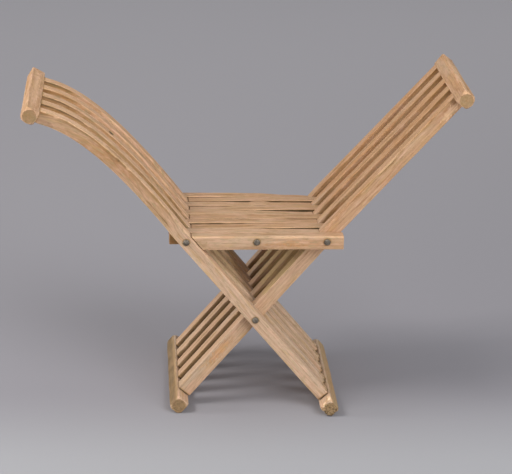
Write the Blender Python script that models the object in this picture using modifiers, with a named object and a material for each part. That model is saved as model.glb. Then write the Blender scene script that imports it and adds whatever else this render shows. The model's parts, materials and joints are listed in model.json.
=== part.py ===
"""Slatted X-frame folding chair of the Italian pincer kind.

Five arched staves and five straight staves cross on an iron rod, layer by layer from front to back.
Each set is held by a crest rail and a foot rail. Ten seat slats lie between the staves: one half of them
hangs on the left seat rod, the other half on the right one, and the middle pin joins the two halves.
The chair folds sideways, and its seat then rises between the arms.
Metres, +Z up, the front looks along -Y and the arched arm is on the left.
"""
import math

import bpy
from mathutils import Matrix, Vector
from mathutils.geometry import interpolate_bezier

# Pivots, measured from the cross rod
ROD_SPREAD = 0.165        # seat rods, to the left and right of the cross rod
SEAT_RISE = 0.195         # seat rods and middle pin, above the cross rod
LEG_REACH = 0.2790        # middle of a foot rail, along the leg
FOOT_DROP = 0.0195        # worn flat under a foot rail, below the rail's middle

# Layers from front to back
STAVES_PER_SET = 5
LAYER_PITCH = 0.034       # from one layer to the next
LAYER_GAP = 0.001         # air between neighbouring layers

# Arched staves
ARCH_REACH = 0.525        # middle of the arched crest rail, to the left of the cross rod
ARCH_RISE = 0.506         # middle of the arched crest rail, above the cross rod
ARCH_START_ANGLE = math.radians(53.4)   # front arm above the seat, from the floor
ARCH_EASE = math.radians(0.55)          # each arm starts this much flatter than the one before it
ARCH_END_ANGLE = math.radians(15.5)     # arm at the crest, from the floor
ARCH_START_PULL = 0.315   # length of the curve's handle at the seat
ARCH_END_PULL = 0.066     # length of the curve's handle at the crest
ARCHED_FOOT_WIDTH = 0.030
ARCHED_SEAT_WIDTH = 0.0335
ARCHED_CREST_WIDTH = 0.029
ARCH_STEPS = 14           # straight pieces that the curve is cut into

# Straight staves
ARM_REACH = 0.4695        # middle of the straight crest rail, along the arm from the bend
ARM_BEND = math.radians(1.7)            # arm leans out a little more than the leg
STRAIGHT_FOOT_WIDTH = 0.034
STRAIGHT_SEAT_WIDTH = 0.035
STRAIGHT_CREST_WIDTH = 0.031

# Both sets
ARM_START = 0.025         # where an arm leaves the leg's line, above the seat rod
TENON_WIDTH = 0.017
TENON_LENGTH = 0.020
JOINT_GAP = 0.0003        # air between parts that touch

# Rails
RAIL_WIDTH = 0.036        # along the staves
RAIL_THICKNESS = 0.034    # across the staves
FOOT_OVERHANG = 0.042     # foot rail, past the outermost stave of its own set
CREST_OVERHANG = 0.010    # crest rail, past the outermost layers of the chair
RAIL_OUTER_ROUND = 0.010
RAIL_INNER_ROUND = 0.005
RAIL_ROUND_STEPS = 3

# Seat slats
SLAT_ABOVE_ROD = 0.0140
SLAT_BELOW_ROD = 0.0165
SLAT_OVERHANG = 0.039     # past the seat rod
STOP_GAP = 0.0004         # between a slat's bevelled end and the stave it stops on

# Iron rods
ROD_RADIUS = 0.0045
HEAD_RADIUS = 0.0082
HEAD_RIM = 0.0012
HEAD_DOME = 0.0034
ROD_STEPS = 20
DOME_STEPS = 4

# Cutters
CUT_MARGIN = 0.02         # how far a cutter runs past what it cuts

# Colours, roughness and metallic value
ARCHED_COLOUR = (0.46, 0.28, 0.15, 1.0)
STRAIGHT_COLOUR = (0.44, 0.29, 0.17, 1.0)
RAIL_COLOUR = (0.47, 0.31, 0.19, 1.0)
SLAT_COLOUR = (0.50, 0.34, 0.22, 1.0)
IRON_COLOUR = (0.045, 0.035, 0.028, 1.0)
WOOD_ROUGHNESS = 0.62
IRON_ROUGHNESS = 0.5

# Places that follow from the sizes above, as (x, z) from the cross rod
CROSS = Vector((0.0, 0.0))
LEFT = Vector((-ROD_SPREAD, SEAT_RISE))
RIGHT = Vector((ROD_SPREAD, SEAT_RISE))
MIDDLE = Vector((0.0, SEAT_RISE))
ARCHED_LEG = LEFT.normalized()
STRAIGHT_LEG = RIGHT.normalized()
LAYERS = 2 * STAVES_PER_SET
DEPTH = LAYERS * LAYER_PITCH
THICKNESS = LAYER_PITCH - LAYER_GAP
SHOULDER = RAIL_WIDTH / 2 + JOINT_GAP


def clear_scene():
    for item in list(bpy.data.objects):
        bpy.data.objects.remove(item, do_unlink=True)


def new_collection(name):
    collection = bpy.data.collections.new(name)
    bpy.context.scene.collection.children.link(collection)
    return collection


def new_material(name, colour, roughness, metallic):
    material = bpy.data.materials.new(name)
    material.use_nodes = True
    shader = material.node_tree.nodes["Principled BSDF"]
    shader.inputs["Base Color"].default_value = colour
    shader.inputs["Roughness"].default_value = roughness
    shader.inputs["Metallic"].default_value = metallic
    material.diffuse_color = colour
    return material


def paint(part, colour, roughness=WOOD_ROUGHNESS, metallic=0.0):
    part.data.materials.append(new_material(part.name + "_finish", colour, roughness, metallic))


def move_to(item, collection):
    for old in list(item.users_collection):
        old.objects.unlink(item)
    collection.objects.link(item)


def turned(direction, angle):
    """A direction in the chair's front plane, turned anticlockwise as seen from the front."""
    return Matrix.Rotation(angle, 2) @ direction


def layer_front(layer):
    """Front face of a layer's pieces, with the middle of the chair's depth at y = 0."""
    return layer * LAYER_PITCH - DEPTH / 2 + LAYER_GAP / 2


def layer_middle(layer):
    return layer_front(layer) + THICKNESS / 2


def plate(name, outline, layer, collection):
    """A flat piece: an outline in the front plane, as thick as its layer."""
    curve = bpy.data.curves.new(name, "CURVE")
    curve.dimensions = "2D"
    curve.fill_mode = "BOTH"
    curve.extrude = THICKNESS / 2
    spline = curve.splines.new("POLY")
    spline.points.add(len(outline) - 1)
    for point, (x, z) in zip(spline.points, outline):
        point.co = (x, z, 0.0, 1.0)
    spline.use_cyclic_u = True
    part = bpy.data.objects.new(name, curve)
    bpy.context.scene.collection.objects.link(part)
    part.rotation_euler = (math.pi / 2, 0.0, 0.0)
    part.location = (0.0, layer_middle(layer), 0.0)
    bpy.ops.object.select_all(action="DESELECT")
    part.select_set(True)
    bpy.context.view_layer.objects.active = part
    bpy.ops.object.convert(target="MESH")
    part = bpy.context.view_layer.objects.active
    part.data.name = name
    weld = part.modifiers.new("weld", "WELD")
    weld.merge_threshold = JOINT_GAP / 10
    move_to(part, collection)
    return part


def cut(part, cutter):
    hole = part.modifiers.new(cutter.name, "BOOLEAN")
    hole.operation = "DIFFERENCE"
    hole.solver = "EXACT"
    hole.object = cutter


def hide_cutter(cutter, name, collection):
    cutter.name = name
    cutter.hide_render = True
    cutter.display_type = "WIRE"
    move_to(cutter, collection)
    return cutter


def rod_cutter(name, place, collection):
    """A bore through every layer at one pivot."""
    bpy.ops.mesh.primitive_cylinder_add(
        vertices=ROD_STEPS,
        radius=ROD_RADIUS + JOINT_GAP,
        depth=DEPTH + 2 * CUT_MARGIN,
        location=(place.x, 0.0, place.y),
        rotation=(math.pi / 2, 0.0, 0.0),
    )
    return hide_cutter(bpy.context.object, name, collection)


def stave_outline(path):
    """Both edges of a stave and its two tenons, from (point, width) pairs, foot first."""
    points = [point for point, _ in path]
    ahead = points[1:] + [2 * points[-1] - points[-2]]
    behind = [2 * points[0] - points[1]] + points[:-1]
    left_edge = []
    right_edge = []
    for (point, width), after, before in zip(path, ahead, behind):
        side = turned((after - before).normalized(), math.pi / 2) * width / 2
        left_edge.append(point + side)
        right_edge.append(point - side)
    foot_way = (points[0] - points[1]).normalized()
    crest_way = (points[-1] - points[-2]).normalized()
    return left_edge + tenon(points[-1], crest_way) + right_edge[::-1] + tenon(points[0], foot_way)


def tenon(shoulder, way):
    """Four corners of a tenon that leaves the middle of a shoulder."""
    side = turned(way, math.pi / 2) * TENON_WIDTH / 2
    reach = way * TENON_LENGTH
    return [shoulder + side, shoulder + side + reach, shoulder - side + reach, shoulder - side]


def foot_shoulder(leg):
    return -leg * (LEG_REACH - SHOULDER)


def arched_crest():
    """Middle of the arched crest rail, and the way in which the staves enter it."""
    way = Vector((-math.cos(ARCH_END_ANGLE), math.sin(ARCH_END_ANGLE)))
    return Vector((-ARCH_REACH, ARCH_RISE)), way


def straight_crest():
    """Middle of the straight crest rail, and the way in which the staves enter it."""
    way = turned(STRAIGHT_LEG, -ARM_BEND)
    return RIGHT + STRAIGHT_LEG * ARM_START + way * (ARM_REACH - ARM_START), way


def arched_outline(number):
    start = LEFT + ARCHED_LEG * ARM_START
    start_angle = ARCH_START_ANGLE - ARCH_EASE * (number - 1)
    start_way = Vector((-math.cos(start_angle), math.sin(start_angle)))
    crest, crest_way = arched_crest()
    end = crest - crest_way * SHOULDER
    handles = [start, start + start_way * ARCH_START_PULL, end - crest_way * ARCH_END_PULL, end]
    arch = interpolate_bezier(*[point.to_3d() for point in handles], ARCH_STEPS + 1)
    path = [(foot_shoulder(ARCHED_LEG), ARCHED_FOOT_WIDTH), (LEFT, ARCHED_SEAT_WIDTH)]
    for step, point in enumerate(arch):
        share = step / ARCH_STEPS
        width = ARCHED_SEAT_WIDTH + (ARCHED_CREST_WIDTH - ARCHED_SEAT_WIDTH) * share
        path.append((point.to_2d(), width))
    return stave_outline(path)


def straight_outline():
    bend = RIGHT + STRAIGHT_LEG * ARM_START
    crest, crest_way = straight_crest()
    return stave_outline([
        (foot_shoulder(STRAIGHT_LEG), STRAIGHT_FOOT_WIDTH),
        (RIGHT, STRAIGHT_SEAT_WIDTH),
        (bend, STRAIGHT_SEAT_WIDTH),
        (crest - crest_way * SHOULDER, STRAIGHT_CREST_WIDTH),
    ])


def slat_outline(rod, far_rod, leg, stave_width):
    """A seat slat: it hangs on rod, and its far end is bevelled to stop on the stave at far_rod."""
    top = SEAT_RISE + SLAT_ABOVE_ROD
    bottom = SEAT_RISE - SLAT_BELOW_ROD
    outward = math.copysign(1.0, rod.x)
    free_end = rod.x + outward * SLAT_OVERHANG
    stop = far_rod + Vector((abs(leg.y) * outward, abs(leg.x))) * (stave_width / 2 + STOP_GAP)
    run = leg.x / leg.y
    return [
        Vector((free_end, bottom)),
        Vector((free_end, top)),
        Vector((stop.x + (top - stop.y) * run, top)),
        Vector((stop.x + (bottom - stop.y) * run, bottom)),
    ]


def rail(name, middle, way, first_layer, span, collection, cutters):
    """A rail across one set of staves, between the two ends of its span, with a mortise for each tenon."""
    front, back = span
    turn = (0.0, -math.atan2(way.y, way.x), 0.0)
    bpy.ops.mesh.primitive_cube_add(
        size=1.0, location=(middle.x, (front + back) / 2, middle.y), rotation=turn)
    part = bpy.context.object
    part.name = name
    part.data.name = name
    part.data.transform(Matrix.Diagonal((RAIL_WIDTH, back - front, RAIL_THICKNESS, 1.0)))
    weights = part.data.attributes.new("bevel_weight_edge", "FLOAT", "EDGE")
    for edge in part.data.edges:
        ends = [part.data.vertices[index].co for index in edge.vertices]
        outer = all(end.x > 0.0 for end in ends) and ends[0].y * ends[1].y < 0.0
        weights.data[edge.index].value = 1.0 if outer else RAIL_INNER_ROUND / RAIL_OUTER_ROUND
    rounding = part.modifiers.new("rounding", "BEVEL")
    rounding.limit_method = "WEIGHT"
    rounding.width = RAIL_OUTER_ROUND
    rounding.segments = RAIL_ROUND_STEPS
    move_to(part, collection)

    face = middle - way * RAIL_WIDTH / 2
    floor = face + way * (JOINT_GAP + TENON_LENGTH + JOINT_GAP)
    mouth = face - way * CUT_MARGIN
    centre = (floor + mouth) / 2
    bpy.ops.mesh.primitive_cube_add(
        size=1.0, location=(centre.x, layer_middle(first_layer), centre.y), rotation=turn)
    mortise = hide_cutter(bpy.context.object, name + "_mortises", cutters)
    size = ((floor - mouth).length, THICKNESS + 2 * JOINT_GAP, TENON_WIDTH + 2 * JOINT_GAP, 1.0)
    mortise.data.transform(Matrix.Diagonal(size))
    row = mortise.modifiers.new("row", "ARRAY")
    row.count = STAVES_PER_SET
    row.use_relative_offset = False
    row.use_constant_offset = True
    row.constant_offset_displace = (0.0, 2 * LAYER_PITCH, 0.0)
    cut(part, mortise)
    return part


def foot_span(first_layer):
    """Front and back ends of the foot rail of the set that starts at a layer."""
    last_layer = first_layer + 2 * (STAVES_PER_SET - 1)
    return layer_front(first_layer) - FOOT_OVERHANG, layer_front(last_layer) + THICKNESS + FOOT_OVERHANG


def floor_cutter(collection):
    """Everything below the worn flats of the feet."""
    foot = -ARCHED_LEG * LEG_REACH
    side = 4 * LEG_REACH
    bpy.ops.mesh.primitive_cube_add(size=side, location=(0.0, 0.0, foot.y - FOOT_DROP - side / 2))
    return hide_cutter(bpy.context.object, "floor", collection)


def head(face, outward):
    """Half profile of a domed head on a face at y = face, from its middle out to the shank."""
    under = face + outward * JOINT_GAP
    rim = under + outward * HEAD_RIM
    points = []
    for step in range(DOME_STEPS + 1):
        turn = math.pi / 2 * step / DOME_STEPS
        points.append((HEAD_RADIUS * math.sin(turn), rim + outward * HEAD_DOME * math.cos(turn)))
    return points + [(HEAD_RADIUS, under), (ROD_RADIUS, under)]


def turned_rod(name, place, front, back, front_head, back_head, collection):
    """A rod between two faces: a half profile turned about the pivot."""
    start = head(front, -1.0) if front_head else [(0.0, front), (ROD_RADIUS, front)]
    end = head(back, 1.0) if back_head else [(0.0, back), (ROD_RADIUS, back)]
    profile = start + end[::-1]
    mesh = bpy.data.meshes.new(name)
    edges = [(index, index + 1) for index in range(len(profile) - 1)]
    mesh.from_pydata([(radius, y, 0.0) for radius, y in profile], edges, [])
    part = bpy.data.objects.new(name, mesh)
    part.location = (place.x, 0.0, place.y)
    turning = part.modifiers.new("turning", "SCREW")
    turning.axis = "Y"
    turning.steps = ROD_STEPS
    turning.render_steps = ROD_STEPS
    turning.use_merge_vertices = True
    turning.merge_threshold = JOINT_GAP / 10
    turning.use_normal_flip = True
    collection.objects.link(part)
    paint(part, IRON_COLOUR, IRON_ROUGHNESS, 1.0)
    return part


def body(name, place, root, collection):
    """An empty on a joint's axis, which carries the pieces that move together."""
    empty = bpy.data.objects.new(name, None)
    empty.location = (place.x, 0.0, place.y)
    empty.parent = root
    collection.objects.link(empty)
    return empty


def carry(empty, parts):
    bpy.context.view_layer.update()
    for part in parts:
        part.parent = empty
        part.matrix_parent_inverse = empty.matrix_world.inverted()


def stand_on_floor(root, parts):
    """Bring the middle of the underside of the whole chair to the world's origin."""
    bpy.context.view_layer.update()
    graph = bpy.context.evaluated_depsgraph_get()
    points = []
    for part in parts:
        shape = part.evaluated_get(graph)
        points += [shape.matrix_world @ vertex.co for vertex in shape.data.vertices]
    low = Vector([min(point[axis] for point in points) for axis in range(3)])
    high = Vector([max(point[axis] for point in points) for axis in range(3)])
    root.location = (-(low.x + high.x) / 2, -(low.y + high.y) / 2, -low.z)


def build():
    clear_scene()
    chair = new_collection("pincer_folding_chair")
    cutters = new_collection("cutters")
    root = bpy.data.objects.new("chair_root", None)
    chair.objects.link(root)

    bores = {}
    for name, place in (("cross", CROSS), ("left", LEFT), ("right", RIGHT), ("middle", MIDDLE)):
        bores[name] = rod_cutter(name + "_bore", place, cutters)
    floor = floor_cutter(cutters)

    arched = []
    straight = []
    left_seat = []
    right_seat = []
    for number in range(1, STAVES_PER_SET + 1):
        arched_layer = 2 * (number - 1)
        straight_layer = arched_layer + 1
        pieces = (
            ("arched_stave", arched_outline(number), arched_layer, ("cross", "left"), ARCHED_COLOUR, arched),
            ("straight_stave", straight_outline(), straight_layer, ("cross", "right"), STRAIGHT_COLOUR,
             straight),
            ("right_seat_slat", slat_outline(RIGHT, LEFT, ARCHED_LEG, ARCHED_SEAT_WIDTH), arched_layer,
             ("right", "middle"), SLAT_COLOUR, right_seat),
            ("left_seat_slat", slat_outline(LEFT, RIGHT, STRAIGHT_LEG, STRAIGHT_SEAT_WIDTH), straight_layer,
             ("left", "middle"), SLAT_COLOUR, left_seat),
        )
        for kind, outline, layer, holes, colour, group in pieces:
            part = plate(f"{kind}_{number}", outline, layer, chair)
            for hole in holes:
                cut(part, bores[hole])
            paint(part, colour)
            group.append(part)
        for side, layer, group in (("right", arched_layer, right_seat), ("left", straight_layer, left_seat)):
            group.append(turned_rod(
                f"middle_pin_{side}_{number}", MIDDLE, layer_front(layer), layer_front(layer) + THICKNESS,
                layer == 0, layer == LAYERS - 1, chair))

    front = layer_front(0)
    back = layer_front(LAYERS - 1) + THICKNESS
    crest_span = (front - CREST_OVERHANG, back + CREST_OVERHANG)
    crest, crest_way = arched_crest()
    arm_crest, arm_way = straight_crest()
    rails = (
        ("arched_crest_rail", crest, crest_way, 0, crest_span, arched),
        ("arched_foot_rail", -ARCHED_LEG * LEG_REACH, -ARCHED_LEG, 0, foot_span(0), arched),
        ("straight_crest_rail", arm_crest, arm_way, 1, crest_span, straight),
        ("straight_foot_rail", -STRAIGHT_LEG * LEG_REACH, -STRAIGHT_LEG, 1, foot_span(1), straight),
    )
    for name, middle, way, first_layer, span, group in rails:
        part = rail(name, middle, way, first_layer, span, chair, cutters)
        if "foot" in name:
            cut(part, floor)
        paint(part, RAIL_COLOUR)
        group.append(part)

    for name, place, group in (("cross_rod", CROSS, arched), ("left_seat_rod", LEFT, arched),
                               ("right_seat_rod", RIGHT, straight)):
        group.append(turned_rod(name, place, front, back, True, True, chair))

    for name, place, group in (("arched_frame", CROSS, arched), ("straight_frame", CROSS, straight),
                               ("left_seat", LEFT, left_seat), ("right_seat", RIGHT, right_seat)):
        carry(body(name, place, root, chair), group)
    carry(root, cutters.objects)
    stand_on_floor(root, arched + straight + left_seat + right_seat)


build()
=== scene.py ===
# %% [markdown]
# # A slatted folding chair in weathered wood
#
# Two sets of wooden staves cross like scissors on an iron rod, and a seat of slats lies between them. The
# CAD model gives every piece its place and its motion. This lesson makes each piece again as worn, hand-cut
# wood or forged iron, lets it ride on the CAD body that it belongs to, and then sets up the light and the
# camera.

# %% Load the frame
import json
import math
from dataclasses import dataclass

import bmesh
import bpy
from mathutils import Matrix, Vector, noise
from mathutils.geometry import interpolate_bezier

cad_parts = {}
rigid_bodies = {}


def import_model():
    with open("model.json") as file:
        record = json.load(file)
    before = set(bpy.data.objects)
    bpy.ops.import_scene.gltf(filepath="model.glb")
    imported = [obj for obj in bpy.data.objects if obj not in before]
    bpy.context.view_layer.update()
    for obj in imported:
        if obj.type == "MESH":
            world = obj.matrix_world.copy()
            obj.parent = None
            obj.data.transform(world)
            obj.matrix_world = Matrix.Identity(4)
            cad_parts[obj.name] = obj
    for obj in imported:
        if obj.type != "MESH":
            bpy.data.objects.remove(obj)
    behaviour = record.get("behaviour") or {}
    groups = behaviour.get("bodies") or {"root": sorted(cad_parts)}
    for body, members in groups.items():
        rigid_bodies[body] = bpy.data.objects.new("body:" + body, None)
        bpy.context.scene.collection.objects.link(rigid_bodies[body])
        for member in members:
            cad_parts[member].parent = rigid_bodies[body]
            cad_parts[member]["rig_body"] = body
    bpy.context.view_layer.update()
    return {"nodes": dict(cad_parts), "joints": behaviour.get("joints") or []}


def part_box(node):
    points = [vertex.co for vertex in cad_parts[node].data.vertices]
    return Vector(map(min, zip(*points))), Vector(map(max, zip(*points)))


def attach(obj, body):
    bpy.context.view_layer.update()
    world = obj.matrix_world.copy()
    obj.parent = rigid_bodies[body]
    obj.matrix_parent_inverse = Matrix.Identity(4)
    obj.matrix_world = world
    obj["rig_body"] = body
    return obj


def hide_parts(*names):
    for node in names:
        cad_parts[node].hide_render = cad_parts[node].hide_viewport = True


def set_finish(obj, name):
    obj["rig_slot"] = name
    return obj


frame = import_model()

# %% [markdown]
# ## Where the pivots and layers are
#
# A dressed piece has to turn about the same pivots as its CAD solid, or it swings off its hinge when the
# chair folds. The pivots could be typed in, but the record already holds them, so they are read from its
# joints. The depth of a layer comes from the box of a node in it. The lines of the staves and rails are
# given again, a few millimetres from the CAD in places, where the real chair is less regular.

# %% Pivots and layers
PIVOTS = {joint["name"]: Vector((joint["pos_m"][0], joint["pos_m"][2])) for joint in frame["joints"]}
CROSS = PIVOTS["fold"]
LEFT = PIVOTS["left_seat_fold"]
RIGHT = PIVOTS["right_seat_fold"]
MIDDLE = (LEFT + RIGHT) / 2
ARCHED_LEG = (LEFT - CROSS).normalized()
STRAIGHT_LEG = (RIGHT - CROSS).normalized()
STAVES = range(1, 6)
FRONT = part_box("arched_stave_1")[0].y
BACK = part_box("straight_stave_5")[1].y

LEG_REACH = 0.2790          # middle of a foot rail, along the leg from the cross rod
ARCH_REACH = 0.521          # middle of the arched crest rail, to the left of the cross rod
ARCH_RISE = 0.5055          # and above it
ARCH_ANGLES = (52.4, 25.0)  # an arched arm above the seat and at the crest, in degrees from the floor
ARCH_PULLS = (0.343, 0.030)    # lengths of the two handles of its curve
ARM_START = 0.025           # where an arm leaves the leg's line, above the seat rod
ARM_REACH = 0.4635          # middle of the straight crest rail, above the seat rod
ARM_BEND = 1.7              # in degrees
CREST_HALF = (0.0172, 0.0175)  # half a crest rail's section, along the staves and across them
FOOT_HALF = (0.018, 0.017)  # and half a foot rail's


def layer(node):
    """Middle and half thickness of a CAD node, from front to back."""
    low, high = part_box(node)
    return (low.y + high.y) / 2, (high.y - low.y) / 2


def turned(way, degrees):
    return Matrix.Rotation(math.radians(degrees), 2) @ way


def flat_to_world(place, y=0.0):
    return Vector((place.x, y, place.y))


print("pivots", {name: tuple(round(number, 4) for number in place) for name, place in PIVOTS.items()})
print("depth", round(FRONT, 4), "to", round(BACK, 4))

# %% [markdown]
# ## One way to cut every wooden piece
#
# Each wooden piece is long and narrow, so it is made as a loft: a rounded rectangle is set up at many
# stations along the piece and the rings are joined with faces. A cube with a bevel would be quicker, but
# its edges would all be alike. With rings, each station can have its own width, its own rounding and its
# own dents, as old hand-cut wood has.

# %% Rings and stations
FACE_COLUMNS = (9, 7)       # columns on the first and third faces, and on the other two
CORNER_COLUMNS = 3
CORNERS = ((1, -1), (1, 1), (-1, 1), (-1, -1))
STATION_STEP = 0.004


@dataclass
class Station:
    """One section of a piece: its middle, axes and half sizes, its four roundings, and how soiled it is.

    facets turns the roundings into flat chamfers as it goes from 0 to 1. The side values darken the first and
    third faces only, which for staves and slats are the front and the back: painted shade where a neighbour
    hides them, dirt where they are open, and floor dirt with painted shade on the foot rails. Below 0 they
    are painted light. kept is how much of the old finish is left there, and the top value is painted light on
    a stave's top below the seat."""

    reach: float
    middle: Vector
    across: Vector
    through: Vector
    half_across: float
    half_through: float
    rounds: tuple
    facets: float = 0.0
    soil: float = 0.0
    sides: tuple = (0.0, 0.0)
    kept: tuple = (0.0, 0.0)
    top_light: float = 0.0


def section(station):
    """Points round a section, each with its normal, whether it is on a corner, its face and its share."""
    points = []
    halves = (station.half_across, station.half_through)
    for face, corner in enumerate(CORNERS):
        flip = face % 2
        out = Vector((corner[0], 0)) if flip else Vector((0, corner[1]))
        ahead = Vector(corner) - out
        half, depth = halves[flip], halves[1 - flip]
        start_round, end_round = station.rounds[face - 1], station.rounds[face]
        for column in range(FACE_COLUMNS[flip]):
            share = column / (FACE_COLUMNS[flip] - 1)
            place = -half + start_round + (2 * half - start_round - end_round) * share
            points.append([ahead * place + out * depth, out, 0.0, face, share])
        middle = ahead * (half - end_round) + out * (depth - end_round)
        for column in range(1, CORNER_COLUMNS + 1):
            turn = math.pi / 2 * column / (CORNER_COLUMNS + 1)
            way = out * math.cos(turn) + ahead * math.sin(turn)
            far = 1 - station.facets * (1 - math.cos(math.pi / 4) / math.cos(turn - math.pi / 4))
            points.append([middle + way * end_round * far, way, 1.0, face, 1.0])
    return points


def resample(points, step):
    """Points at equal steps along a line of (point, width) pairs, each with its width, distance and way."""
    lengths = [0.0]
    for (start, _), (end, _) in zip(points, points[1:]):
        lengths.append(lengths[-1] + (end - start).length)
    count = max(2, round(lengths[-1] / step))
    found = []
    span = 0
    for number in range(count + 1):
        reach = lengths[-1] * number / count
        while span < len(points) - 2 and reach > lengths[span + 1]:
            span += 1
        share = (reach - lengths[span]) / (lengths[span + 1] - lengths[span])
        (start, start_width), (end, end_width) = points[span], points[span + 1]
        found.append((start.lerp(end, share), start_width + (end_width - start_width) * share, reach))
    samples = []
    for number, (point, width, reach) in enumerate(found):
        way = found[min(count, number + 2)][0] - found[max(0, number - 2)][0]
        samples.append((point, width, reach, way.normalized()))
    return samples


print("points in a ring", len(section(Station(0, None, None, None, 0.015, 0.0165, (0.002,) * 4))))

# %% [markdown]
# ## Cracks, spots and noise
#
# A ring gives the clean form. Three things make it old: a slow waviness from the drawknife, cracks that run
# with the grain, and spots where the wood is bruised, stained or broken. They could all be painted, but
# then they would vanish in profile, so they move the vertices, and the material only darkens or brightens
# what is there. The noise that does it comes from Blender's own noise module, which gives the same numbers
# each time.

# %% Cracks and spots
CRACK_WIDTH = 0.0008


def smooth(value, low, high):
    """0 below low, 1 above high, and an easy curve between."""
    share = max(0.0, min(1.0, (value - low) / (high - low)))
    return share * share * (3 - 2 * share)


def drift(x, y, z):
    """Noise from -1 to 1 that changes slowly with its three numbers."""
    return noise.noise(Vector((x, y, z)))


@dataclass
class Crack:
    """A split along the grain on one face, between two distances, at a share of the face."""

    face: int
    start: float
    end: float
    share: float
    depth: float = 0.0011

    def strength(self, reach):
        """0 outside the crack and 1 in its middle, with long thin ends."""
        if not self.start < reach < self.end:
            return 0.0
        run = (reach - self.start) / (self.end - self.start)
        return min(1.0, 4 * run, 4 * (1 - run))


@dataclass
class Spot:
    """A bruise, stain or break at a place: its half length along the grain, its half breadth and its depth.

    dark soils the wood, fresh bares it, and warm brings out the orange."""

    place: Vector
    length: float
    breadth: float
    depth: float = 0.0
    dark: float = 0.0
    fresh: float = 0.0
    warm: float = 0.0
    ragged: float = 0.4

    def __post_init__(self):
        self.place = Vector(self.place)

    def strength(self, point, along):
        offset = point - self.place
        run = offset.dot(along)
        rest = (offset - along * run).length
        far = math.hypot(run / self.length, rest / self.breadth) + self.ragged * noise.noise(point * 260)
        return max(0.0, min(1.0, 1.6 * (1 - far)))


def open_cracks(points, cracks, station, seed):
    """Pull three columns of a face together over each crack and push the middle one in.

    Gives how dark the cracks make each point of the ring."""
    notes = [0.0] * len(points)
    for crack in cracks:
        strength = crack.strength(station.reach)
        if strength == 0.0:
            continue
        columns = [index for index, point in enumerate(points) if point[3] == crack.face and point[2] == 0.0]
        nearest = max(1, min(len(columns) - 2, round(crack.share * (len(columns) - 1))))
        first = points[columns[0]][0]
        last = points[columns[-1]][0]
        wander = 0.03 * drift(station.reach * 14, seed, crack.share)
        share = max(0.05, min(0.95, crack.share + wander))
        for step in (-1, 0, 1):
            index = columns[nearest + step]
            target = first.lerp(last, share) + (last - first).normalized() * step * CRACK_WIDTH / 2
            points[index][0] = points[index][0].lerp(target, strength)
            notes[index] = max(notes[index], 0.25 * strength if step else strength)
        middle = points[columns[nearest]]
        middle[0] = middle[0] - middle[1] * crack.depth * strength
    return notes


print("a crack's strength at its middle", Crack(0, 0.0, 0.1, 0.5).strength(0.05))

# %% [markdown]
# ## What each vertex knows about its wear and its painted light and shade
#
# Every vertex keeps two notes for the material. *Grain* is its place in the log. The other note is how
# rubbed, how soiled and how handled the wood is there, with painted light and shade mixed in. Painting wear
# by hand would look more natural, but it would have to be done again after each change of shape, so it
# follows from a few facts: edges are rubbed, painted shade lies on the sides that a neighbour hides, hands
# keep the arms clean, and painted yellow light lifts the wood in the seat's shade.

# %% Wear, painted light and painted shade on a vertex
WAVE = 0.00035              # how far the slow waviness goes
RIPPLE = 0.00016            # and the small marks of the blade
RUBBED_FROM = (0.20, 0.40)  # heights between which the edges become more rubbed
HANDLED_FROM = (0.33, 0.56)    # and grey wood becomes handled wood
ARMS_FROM = (0.45, 0.49)    # and a leg becomes an arm
# painted yellow light lifts the wood between these heights, in the seat's shade
SHADE_FROM = (0.26, 0.31)   # and the seat's shade begins
SHADE_TO = (0.405, 0.425)   # and ends
STAIN_RADIUS = 0.0066       # of the iron stain round a rod's head
STAIN_DARK = 0.62
FLOOR_DIRT_AND_SHADE = 0.75           # floor dirt and painted contact shade on a foot rail
FLOOR_DARK_HEIGHTS = (0.003, 0.014)    # heights between which it fades


@dataclass
class Plan:
    """What a wooden piece is lofted from.

    floor sets it on the floor, pith is where the heart of the log lies, and bow bends the grain. discs soils
    its pared, round ends and rough tears them. worn is for its edges, and the last value is the painted
    yellow light that lifts its wood in the seat's shade."""

    name: str
    stations: list
    seed: float
    cracks: tuple = ()
    spots: tuple = ()
    stains: tuple = ()
    floor: bool = False
    wave: float = WAVE
    pith: tuple = (0.03, 0.05)
    bow: object = None
    discs: float = 0.0
    rough: float = 0.0004
    worn: float = 1.0
    seat_shade_light: float = 0.0


def hidden_dirt_and_shade(station, face, height, z):
    """Painted shade on a hidden side, with floor dirt on a foot rail. It is darker low on a leg's side and
    high on an arm's.
    """
    arm = smooth(z, *ARMS_FROM)
    on_leg = 1.3 - smooth(height, 0.25, 1.0)
    on_arm = 0.4 + smooth(height, 0.45, 0.95)
    return min(station.sides[face // 2] * ((1 - arm) * on_leg + arm * on_arm), 0.95)


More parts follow.
